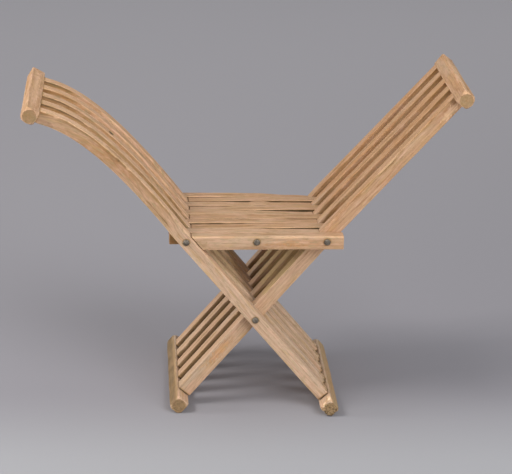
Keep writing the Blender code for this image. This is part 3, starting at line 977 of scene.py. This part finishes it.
RAIL_SPOTS = {
    "arched_crest_rail": [Spot((-0.5122, 0.0, 0.7458), 0.30, 0.0135, fresh=0.25, warm=0.5),
                          Spot((-0.4920, 0.0, 0.7560), 0.30, 0.0180, fresh=0.68, ragged=0.6)],
    "straight_crest_rail": [Spot(flat_to_world(OUTER_CORNER), 0.30, 0.0150, fresh=0.75, warm=1.2),
                            Spot((0.483, -0.030, 0.7824), 0.0016, 0.030, fresh=0.9, ragged=0.2)],
    "arched_foot_rail": [Spot((0.2010, -0.196, 0.0400), 0.013, 0.010, 0.0018, fresh=2.0, ragged=0.8),
                         Spot((0.1880, -0.206, 0.0300), 0.010, 0.008, 0.0010, fresh=1.8, ragged=0.8),
                         Spot((0.2100, -0.2110, 0.0100), 0.014, 0.014, 0.0012, dark=0.7, ragged=1.0),
                         Spot((0.2089, -0.0089, 0.0389), 0.0035, 0.0030, 0.003, dark=1.0)],
    "straight_foot_rail": [],
}
PITS = (0.150, 0.120, 0.075, 0.040, 0.021, -0.010, -0.035, -0.060, -0.085, -0.112, -0.135)  # along the joint
CHIPS = (140, 178, 205, 232, 250, 275, 298, 322, 350)  # round the rim, in degrees
RIM_RADIUS = 0.0155
RIM_FRONT = -0.210
for index, y in enumerate(PITS):
    size = 0.004 + 0.003 * (index % 3)
    pit = Spot((0.1985, y, 0.0510), size * 1.6, size, 0.0025, dark=1.0, ragged=1.0)
    RAIL_SPOTS["arched_foot_rail"].append(pit)
for index, turn in enumerate(CHIPS):
    rim = flat_to_world(ARCHED_FOOT + turned(Vector((RIM_RADIUS, 0)), turn), RIM_FRONT)
    size = 0.0035 + 0.0017 * (index % 3)
    RAIL_SPOTS["arched_foot_rail"].append(Spot(rim, size * 1.5, size, 0.0032, dark=0.9, ragged=1.0))
for node, middle, way, halves, span, rounds, soil, seed in RAILS:
    stations = rail_stations(node, middle, way, halves, span, rounds, soil, seed)
    plan = Plan("worn_" + node, stations, seed, cracks=RAIL_CRACKS[node], spots=RAIL_SPOTS[node],
                floor="foot" in node, pith=(0.006, 0.008), wave=0.0005, discs=1.0 if soil else 0.72,
                rough=0.0030 if node == "arched_foot_rail" else 0.0006)
    place_piece(loft(plan), node, "rail_wood")

# %% [markdown]
# ## The iron rods
#
# Four iron rods pin the wood together, and their ends are hammered over into domed heads. A smooth sphere
# would look machine-made. Here a half profile is turned about the rod, and small hammer flats push the dome
# in. The lengths of the middle pin that lie hidden in the slats keep their CAD shape and only get the iron
# finish.

# %% Rods
ROD_RADIUS = 0.0045
HEAD_RADIUS = 0.0075
HEAD_RIM = 0.0014
HEAD_DOME = 0.0033
HAMMER_DEPTH = 0.00035
ROD_TURNS = 36
DOME_RINGS = 7
SHARP_IRON = 50             # in degrees


def head_profile(face, outward):
    """(radius, y) pairs of a domed head on a face, from its middle to the shank."""
    rim = face + outward * HEAD_RIM
    points = []
    for ring in range(DOME_RINGS + 1):
        turn = math.pi / 2 * ring / DOME_RINGS
        points.append((HEAD_RADIUS * math.sin(turn), rim + outward * HEAD_DOME * math.cos(turn)))
    points.append((HEAD_RADIUS * 0.99, face + outward * 0.0004))
    return points + [(HEAD_RADIUS * 0.9, face), (ROD_RADIUS, face)]


def rod(name, place, front, back, heads, seed):
    """A rod between two faces, with a hammered head where heads says so."""
    start = head_profile(front, -1.0) if heads[0] else [(0.0, front), (ROD_RADIUS, front)]
    end = head_profile(back, 1.0) if heads[1] else [(0.0, back), (ROD_RADIUS, back)]
    shape = bmesh.new()
    rings = []
    for radius, y in start + end[::-1]:
        middle = Vector((place.x, y, place.y))
        hammered = radius > ROD_RADIUS
        ring = []
        for step in range(ROD_TURNS if radius else 1):
            turn = 2 * math.pi * step / ROD_TURNS
            way = Vector((math.cos(turn), 0, math.sin(turn)))
            spot = way * radius * 260 + Vector((seed, y * 260, seed * 2))
            bulge = 1 + 0.05 * noise.noise(spot * 0.6) if hammered else 1.0
            sink = HAMMER_DEPTH * noise.noise(spot) if hammered else 0.0
            ring.append(shape.verts.new(middle + way * (radius * bulge) + DEEP * sink))
        rings.append(ring)
    for ring, after in zip(rings, rings[1:]):
        for step in range(ROD_TURNS):
            following = (step + 1) % ROD_TURNS
            corners = [ring[step % len(ring)], ring[following % len(ring)],
                       after[following % len(after)], after[step % len(after)]]
            shape.faces.new(list(dict.fromkeys(corners)))
    return to_object(name, shape, SHARP_IRON)


RODS = (                    # node, place, and whether it has a head at the front and at the back
    ("cross_rod", CROSS, (True, True)),
    ("left_seat_rod", LEFT, (True, True)),
    ("right_seat_rod", RIGHT, (True, True)),
    ("middle_pin_right_1", MIDDLE, (True, False)),
    ("middle_pin_left_5", MIDDLE, (False, True)),
)
for index, (node, place, heads) in enumerate(RODS):
    middle, half = layer(node)
    front = FRONT if heads[0] else middle - half
    back = BACK if heads[1] else middle + half
    place_piece(rod("hammered_" + node, place, front, back, heads, index * 3.7), node, "iron")

# %% [markdown]
# ## Shader sums in Python
#
# A wood shader is mostly arithmetic on noise. Wiring each Math node by hand hides what it does, so a small
# class wraps a socket and lets Python's own operators add the nodes.

# %% Sockets that can be added and multiplied
class Value:
    """An output of a shader node, for use in Python sums."""

    def __init__(self, finish, socket):
        self.finish = finish
        self.socket = socket

    def math(self, operation, first, second):
        return self.finish.node("ShaderNodeMath", {"operation": operation}, {0: first, 1: second})

    def __add__(self, other):
        return self.math("ADD", self, other)

    def __radd__(self, other):
        return self.math("ADD", other, self)

    def __sub__(self, other):
        return self.math("SUBTRACT", self, other)

    def __rsub__(self, other):
        return self.math("SUBTRACT", other, self)

    def __mul__(self, other):
        return self.math("MULTIPLY", self, other)

    def __rmul__(self, other):
        return self.math("MULTIPLY", other, self)

    def __pow__(self, other):
        return self.math("POWER", self, other)


print("operators", [name for name in ("add", "sub", "mul", "pow") if hasattr(Value, f"__{name}__")])

# %% [markdown]
# ## One way to add a node
#
# Noises, ramps and mixes aren't sums, so they need nodes of their own. They could be wired one by one, but
# it is always the same three steps: make the node, set it up, feed its sockets. One method does that, and
# the short ones after it give names to what the finishes use most.

# %% Finishes and their nodes
class Finish:
    """A material, with one way to add its nodes."""

    def __init__(self, name):
        self.material = bpy.data.materials.new(name)
        self.material.use_nodes = True
        self.tree = self.material.node_tree
        self.shader = self.tree.nodes["Principled BSDF"]

    def node(self, kind, settings, sockets, output=0):
        """Add a node: its settings first, then the values or links of its sockets. Gives one output."""
        made = self.tree.nodes.new(kind)
        for key, value in settings.items():
            setattr(made, key, value)
        for key, value in sockets.items():
            self.feed(made.inputs[key], value)
        return Value(self, made.outputs[output])

    def feed(self, socket, value):
        if isinstance(value, Value):
            self.tree.links.new(value.socket, socket)
        else:
            socket.default_value = value

    def scaled(self, vector, factors):
        return self.node("ShaderNodeVectorMath", {"operation": "MULTIPLY"}, {0: vector, 1: factors})

    def cloud(self, vector, factors, detail=3.0, rough=0.55):
        """Noise from 0 to 1, stretched by its three factors."""
        sockets = {"Vector": self.scaled(vector, factors), "Scale": 1.0, "Detail": detail, "Roughness": rough}
        return self.node("ShaderNodeTexNoise", {}, sockets)

    def ease(self, value, low, high):
        """0 below low and 1 above high."""
        sockets = {"Value": value, "From Min": low, "From Max": high}
        return self.node("ShaderNodeMapRange", {"interpolation_type": "SMOOTHSTEP"}, sockets)

    def blend(self, colour, layers, way="MIX"):
        """A colour with others laid over it, each as a pair of its share and itself."""
        for share, other in layers:
            settings = {"data_type": "RGBA", "blend_type": way}
            colour = self.node("ShaderNodeMix", settings, {0: share, 6: colour, 7: other}, 2)
        return colour

    def bump(self, strength, distance, height):
        sockets = {"Strength": strength, "Distance": distance, "Height": height}
        return self.node("ShaderNodeBump", {}, sockets)

    def shade(self, **inputs):
        for name, value in inputs.items():
            self.feed(self.shader.inputs[name.replace("_", " ")], value)
        return self.material


print("helpers", [name for name in vars(Finish) if not name.startswith("__")])

# %% [markdown]
# ## The wood
#
# The wood is bare and dry: pinkish tan where hands have kept it clean, orange where old finish is left,
# grey and pale towards the feet. An image of wood would stretch round the arches. A solid texture doesn't:
# the growth rings are circles round the heart of the log, so they show as long figure on the faces and as
# arcs on the end grain. The colours below are linear.

# %% Wood colours
PALE = (0.565, 0.378, 0.238, 1)
TAN = (0.485, 0.285, 0.155, 1)
ORANGE = (0.470, 0.235, 0.095, 1)
GREY = (0.400, 0.320, 0.235, 1)
BLEACHED = (0.620, 0.475, 0.350, 1)
HONEY = (0.620, 0.345, 0.160, 1)
FRESH = (0.860, 0.700, 0.480, 1)
# rubbed wood, and the painted light on hidden sides and on tops below the seat
RUBBED_AND_LIT = (0.860, 0.570, 0.350, 1)
OLIVE = (0.400, 0.300, 0.165, 1)
PINK = (0.660, 0.415, 0.285, 1)
GOLDEN = (0.545, 0.345, 0.165, 1)
# painted yellow light in the seat's shade
PAINTED_SEAT_LIGHT = (0.640, 0.485, 0.215, 1)
# stains and dirt, and painted shade on hidden sides
STAINED_AND_SHADED = (0.080, 0.052, 0.022, 1)
LATE_WOOD = (0.45, 0.34, 0.26, 1)    # this and the next five darken what lies under them
STREAKED = (0.62, 0.50, 0.40, 1)
FIBROUS = (0.66, 0.56, 0.46, 1)
PORES = (0.42, 0.30, 0.22, 1)
GRIMY = (0.50, 0.41, 0.33, 1)
# dirt, and painted shade on hidden sides
DIRT_AND_SHADE = (0.71, 0.675, 0.52, 1)
RINGS_PER_METRE = 330.0
print("a growth ring is", round(1000 / RINGS_PER_METRE, 1), "mm wide")

# %% [markdown]
# ## Four woods
#
# Each set of pieces has its own wood, because they have weathered differently. Long noises along the grain
# paint it: the slow ones choose between the colours above, and the fine ones are streaks, fibres and pores.
# The notes of the vertices then decide where the wood is rubbed, handled or soiled, and where painted light
# and shade lie on it.

# %% Wood finishes
def growth_rings(finish, grain):
    """0 to 1 across each ring of the log, sharper towards its late wood."""
    sockets = {"Vector": finish.scaled(grain, (3.2, 22, 22)), "Scale": 1.0, "Detail": 2.0}
    wobble = finish.node("ShaderNodeTexNoise", {}, sockets, 1)
    sockets = {0: wobble, 1: (0.0, 0.012, 0.012), 2: finish.scaled(grain, (0, 1, 1))}
    bent = finish.node("ShaderNodeVectorMath", {"operation": "MULTIPLY_ADD"}, sockets)
    radius = finish.node("ShaderNodeVectorMath", {"operation": "LENGTH"}, {0: bent}, 1)
    return finish.node("ShaderNodeMath", {"operation": "FRACT"}, {0: radius * RINGS_PER_METRE}) ** 2.5


def wood(name, warmth, bleach, pale, seed, figure=0.0):
    """Bare wood. warmth brings out the orange, bleach and pale the grey and the fading of the legs, and
    figure the mottle of handled wood."""
    finish = Finish(name)
    grain = finish.node("ShaderNodeAttribute", {"attribute_name": "grain"}, {}, "Vector")
    wear_and_shade = finish.node("ShaderNodeAttribute", {"attribute_name": "wear_and_shade"}, {}, "Vector")
    parts = [finish.node("ShaderNodeSeparateXYZ", {}, {0: wear_and_shade}, axis) for axis in range(3)]
    rubbed_and_lit, soil_and_shade, handled = parts

    ring = growth_rings(finish, grain)
    tone = finish.cloud(grain, (2.1, 14, 14), 2.0)
    patch = finish.cloud(grain, (5.5 + seed, 36, 36), 3.0)
    streak = finish.cloud(grain, (11, 270, 270), 4.0, 0.6)
    fibre = finish.cloud(grain, (70, 1500, 1500), 3.0, 0.6)
    mottle = finish.cloud(grain, (48, 210, 210), 3.0, 0.65)
    blotch = finish.cloud(grain, (17, 85, 85), 2.0)
    pore = finish.ease(finish.cloud(grain, (42, 640, 640), 2.0, 0.5), 0.60, 0.72)
    grime = finish.ease(finish.cloud(grain, (9, 60, 60), 5.0, 0.65), 0.52, 0.80)

    warm = finish.node("ShaderNodeMath", {"operation": "MAXIMUM"}, {0: handled - 1.0, 1: 0.0})
    bright = finish.ease(rubbed_and_lit * (0.6 + 0.8 * patch), 0.25, 0.85)
    strong = 1.0 + figure * handled
    colour = finish.blend(TAN, (
        (finish.ease(tone, 0.30, 0.70), PALE),
        (finish.ease(patch, 0.44, 0.68) * (warmth * (0.35 + 0.65 * handled)), ORANGE),
        (finish.ease(tone, 0.42, 0.66) * (bleach * (1 - 0.75 * handled)), GREY),
        (pale - pale * handled, BLEACHED),
        (warm * (0.4 + 0.9 * patch), HONEY),
        # rubbed edges, and painted light on hidden sides and tops
        (bright * 0.75, RUBBED_AND_LIT),
        # painted yellow light in the seat's shade
        (finish.ease(soil_and_shade, -0.05, -0.60) * 0.75, PAINTED_SEAT_LIGHT),
        (finish.ease(blotch, 0.52, 0.68) * 0.55, GOLDEN),
        (finish.ease(blotch, 0.48, 0.32) * 0.50, PINK),
        (finish.ease(mottle, 0.52, 0.72 - 0.14 * figure) * 0.55 * strong, OLIVE),
        (finish.ease(mottle, 0.50, 0.30 + 0.14 * figure) * 0.45 * strong, PINK),
    ))
    colour = finish.blend(colour, (
        (0.30 * ring, LATE_WOOD),
        (finish.ease(streak, 0.35, 0.75) * 0.42, STREAKED),
        (finish.ease(fibre, 0.42, 0.70) * 0.30 * strong, FIBROUS),
        (pore * 0.5, PORES),
        (grime * 0.35, GRIMY),
    ), "MULTIPLY")
    colour = finish.blend(colour, ((rubbed_and_lit - 1.0, FRESH),))
    # dirt and stains, with painted shade on the hidden sides
    colour = finish.blend(colour, ((finish.ease(soil_and_shade, 0.03, 0.35), DIRT_AND_SHADE),), "MULTIPLY")
    colour = finish.blend(colour, ((finish.ease(soil_and_shade, 0.35, 1.0), STAINED_AND_SHADED),))

    bump = finish.bump(0.5, 0.0007, 0.45 * streak + 0.35 * fibre - 0.4 * pore - 0.25 * ring)
    rough = 0.62 + 0.22 * streak - 0.14 * bright + 0.05 * pore
    finish.shader.inputs["Specular IOR Level"].default_value = 0.32
    return finish.shade(Base_Color=colour, Roughness=rough, Normal=bump)


WOODS = {
    "arched_wood": wood("arched stave wood", warmth=0.70, bleach=0.50, pale=0.58, seed=0.0, figure=0.35),
    "straight_wood": wood("straight stave wood", warmth=0.80, bleach=0.75, pale=0.35, seed=0.7),
    "rail_wood": wood("rail wood", warmth=0.55, bleach=0.85, pale=0.55, seed=1.3),
    "seat_wood": wood("seat slat wood", warmth=0.80, bleach=0.25, pale=0.15, seed=2.1, figure=0.3),
}
print("woods", [material.name for material in WOODS.values()])

# %% [markdown]
# ## The iron
#
# Forged iron that has been handled for a long time is brown-black, with a thin bloom of rust and a dull
# shine where it is worn. It could be one dark metal, but at this size the rust and the worn spots are what
# make it look forged. Noise in the object's own coordinates gives all three.

# %% Iron finish
IRON_DARK = (0.100, 0.084, 0.066, 1)
IRON_WORN = (0.205, 0.176, 0.140, 1)
IRON_RUST = (0.140, 0.076, 0.040, 1)


def iron(name):
    finish = Finish(name)
    place = finish.node("ShaderNodeTexCoord", {}, {}, "Object")
    cloud = finish.cloud(place, (170, 170, 170), 4.0, 0.6)
    fine = finish.cloud(place, (900, 900, 900), 3.0, 0.6)
    worn = finish.ease(cloud, 0.40, 0.65)
    rust = finish.ease(fine, 0.50, 0.72) * 0.6
    colour = finish.blend(IRON_DARK, ((worn, IRON_WORN), (rust, IRON_RUST)))
    bump = finish.bump(0.6, 0.0005, 0.6 * cloud + 0.4 * fine)
    shine = 0.65 - 0.35 * fine
    rough = 0.45 + 0.35 * fine
    return finish.shade(Base_Color=colour, Metallic=shine, Roughness=rough, Normal=bump)


IRON = iron("forged iron")
for piece in PIECES.values():
    piece.data.materials.clear()
    piece.data.materials.append(WOODS.get(piece.get("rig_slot"), IRON))
for name, node in frame["nodes"].items():
    if name.startswith("middle_pin"):
        for material_slot in node.material_slots:
            material_slot.material = IRON
print("painted", len(PIECES), "pieces")

# %% [markdown]
# ## Floor and light
#
# The chair stands on a plain studio sweep. One soft lamp from the upper left throws the striped shadow of
# the legs, a wide one in front lifts the shade, two low ones with a narrow beam brighten the sides, and the
# world fills in the rest. The floor could be one grey, but it gets painted shade under the chair and painted
# light far behind it, so its colour changes with the distance.

# %% Studio
FLOOR_NEAR = (0.352, 0.354, 0.376, 1)
# painted shade under and behind the chair
FLOOR_PAINTED_SHADE = (0.262, 0.254, 0.280, 1)
# painted light far behind the chair
FLOOR_FAR_PAINTED_LIGHT = (0.578, 0.560, 0.594, 1)
FLOOR_SIZE = 14.0
WARM_WHITE = (1.0, 0.97, 0.93)
WHITE = (1, 1, 1)


def studio_floor():
    mesh = bpy.data.meshes.new("floor")
    shape = bmesh.new()
    bmesh.ops.create_grid(shape, x_segments=8, y_segments=8, size=FLOOR_SIZE)
    shape.to_mesh(mesh)
    shape.free()
    finish = Finish("studio floor")
    place = finish.node("ShaderNodeTexCoord", {}, {}, "Object")
    depth = finish.node("ShaderNodeSeparateXYZ", {}, {0: place}, 1)
    # near leads into the painted shade under the chair, far into the painted light far behind it
    near = finish.ease(depth, -0.5, 0.0)
    far = finish.ease(depth, -0.5, 4.6)
    colour = finish.blend(FLOOR_NEAR, ((near, FLOOR_PAINTED_SHADE), (far, FLOOR_FAR_PAINTED_LIGHT)))
    mesh.materials.append(finish.shade(Base_Color=colour, Roughness=0.85))
    return link("studio_floor", mesh)


def lamp(name, place, target, size, power, colour, spread):
    """A rectangular lamp that points from a place to a target. Its spread is in degrees."""
    light = bpy.data.lights.new(name, "AREA")
    light.shape = "RECTANGLE"
    light.size, light.size_y = size
    light.energy = power
    light.color = colour
    light.spread = math.radians(spread)
    holder = link(name, light)
    holder.location = place
    holder.rotation_euler = (Vector(target) - Vector(place)).to_track_quat("-Z", "Y").to_euler()


studio_floor()
lamp("key", (-2.5, -0.9, 3.0), (0.0, 0.0, 0.35), (1.3, 1.0), 80.0, WARM_WHITE, 180.0)
lamp("front", (1.9, -2.8, 3.0), (0.0, 0.0, 0.4), (2.6, 2.0), 89.0, WHITE, 180.0)
lamp("left", (-3.6, -0.1, 0.75), (0.0, 0.0, 0.33), (0.6, 0.8), 13.0, WHITE, 90.0)
lamp("right", (2.4, -3.6, 0.8), (0.0, 0.0, 0.3), (1.6, 1.0), 16.5, WHITE, 90.0)

world = bpy.data.worlds.new("studio")
bpy.context.scene.world = world
world.use_nodes = True
sky = world.node_tree.nodes["Background"]
sky.inputs["Color"].default_value = (0.97, 0.98, 1.0, 1)
sky.inputs["Strength"].default_value = 0.40
print("lamps", [item.name for item in bpy.data.lights])

# %% [markdown]
# ## Camera
#
# The camera's place and angle come from the lines of the chair itself: its pivots, staves and rails were
# fitted to the picture. Only the pitch was chosen, because it trades against the depth of the chair. Such a
# fit gives a focal length in pixels, which becomes millimetres once a sensor width is chosen. Euler angles
# would do too, but their order is easy to mix up, so yaw, pitch and roll are turned into three axes step by
# step.

# %% Camera
IMAGE_WIDTH = 512
FOCAL_PIXELS = 2025.24
SENSOR_WIDTH = 36.0
CAMERA_PLACE = (-0.28035, -4.62613, 1.97856)
YAW, PITCH, ROLL = -0.0673457, 0.3315660, 0.0197655
ahead = Vector((-math.sin(YAW) * math.cos(PITCH), math.cos(YAW) * math.cos(PITCH), -math.sin(PITCH)))
level = Vector((math.cos(YAW), math.sin(YAW), 0))
above = level.cross(ahead)
aside = math.cos(ROLL) * level + math.sin(ROLL) * above
upward = -math.sin(ROLL) * level + math.cos(ROLL) * above
lens = bpy.data.cameras.new("camera")
lens.sensor_fit = "HORIZONTAL"
lens.sensor_width = SENSOR_WIDTH
lens.lens = FOCAL_PIXELS * SENSOR_WIDTH / IMAGE_WIDTH
camera = link("camera", lens)
facing = Matrix((aside, upward, -ahead)).transposed().to_4x4()
camera.matrix_world = Matrix.Translation(CAMERA_PLACE) @ facing
bpy.context.scene.camera = camera
bpy.context.scene.view_settings.view_transform = "Standard"
print("lens", round(lens.lens, 1), "mm")

# %% [markdown]
# ## The end
